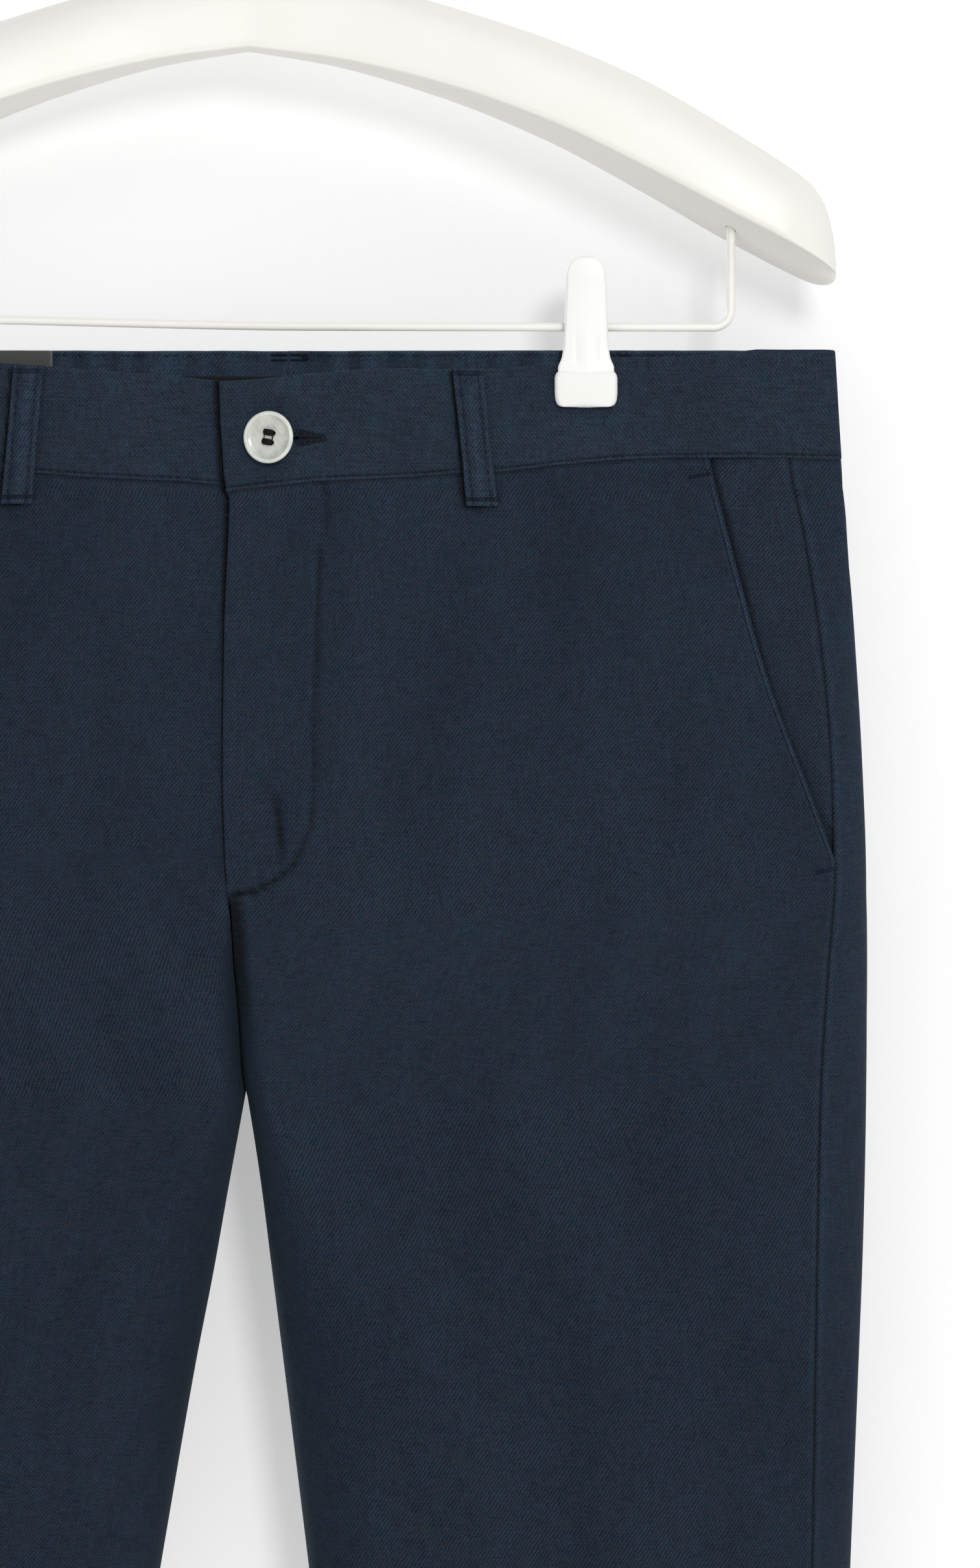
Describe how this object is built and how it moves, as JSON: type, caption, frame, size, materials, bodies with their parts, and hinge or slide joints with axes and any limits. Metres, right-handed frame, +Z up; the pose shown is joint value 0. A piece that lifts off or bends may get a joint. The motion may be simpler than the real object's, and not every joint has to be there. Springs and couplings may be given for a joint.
{
  "type": "linen bermuda shorts on a clip hanger",
  "caption": "Knee-length linen twill shorts with slanted front pockets, belt loops and a buttoned fly front, hung by the waistband from a clip hanger.",
  "frame": {"origin": "the hook's inner crown, where a rail holds the hanger", "axes": "+Z up, the long way from hem to hook; the front faces -Y; the wearer's left is +X"},
  "size_m": [0.4544, 0.065, 0.7248],
  "materials": {
    "navy_twill": "matt linen twill",
    "dark_twill": "matt cotton twill",
    "label_tape": "woven tape",
    "zip_tape": "woven tape",
    "mother_of_pearl": "polished shell",
    "sewing_thread": "twisted thread",
    "hanger_plastic": "moulded, satin",
    "clip_plastic": "moulded, satin",
    "clip_pad": "soft, matt",
    "hook_steel": "polished plating",
    "spring_steel": "bright spring strip",
    "coated_wire": "powder coated"
  },
  "bodies": {
    "root": {"front_left": "navy_twill", "front_right": "navy_twill", "back_left": "navy_twill", "back_right": "navy_twill", "waistband_left": "navy_twill", "waistband_right": "navy_twill", "fly_shield": "navy_twill", "pocket_facing_left": "navy_twill", "pocket_facing_right": "navy_twill", "pocket_bag_left": "navy_twill", "pocket_bag_right": "navy_twill", "belt_loop_front_left": "navy_twill", "belt_loop_front_right": "navy_twill", "belt_loop_side_left": "navy_twill", "belt_loop_side_right": "navy_twill", "belt_loop_centre_back": "navy_twill", "waistband_lining": "dark_twill", "label": "label_tape", "fly_zip": "zip_tape", "button": "mother_of_pearl", "button_thread": "sewing_thread", "hanger_body": "hanger_plastic", "hanger_hook": "hook_steel", "trouser_bar": "coated_wire", "clip_left_front_arm": "clip_plastic", "clip_left_front_pad": "clip_pad", "clip_left_back_arm": "clip_plastic", "clip_left_back_pad": "clip_pad", "clip_left_spring": "spring_steel", "clip_right_front_arm": "clip_plastic", "clip_right_front_pad": "clip_pad", "clip_right_back_arm": "clip_plastic", "clip_right_back_pad": "clip_pad", "clip_right_spring": "spring_steel"}
  },
  "joints": []
}
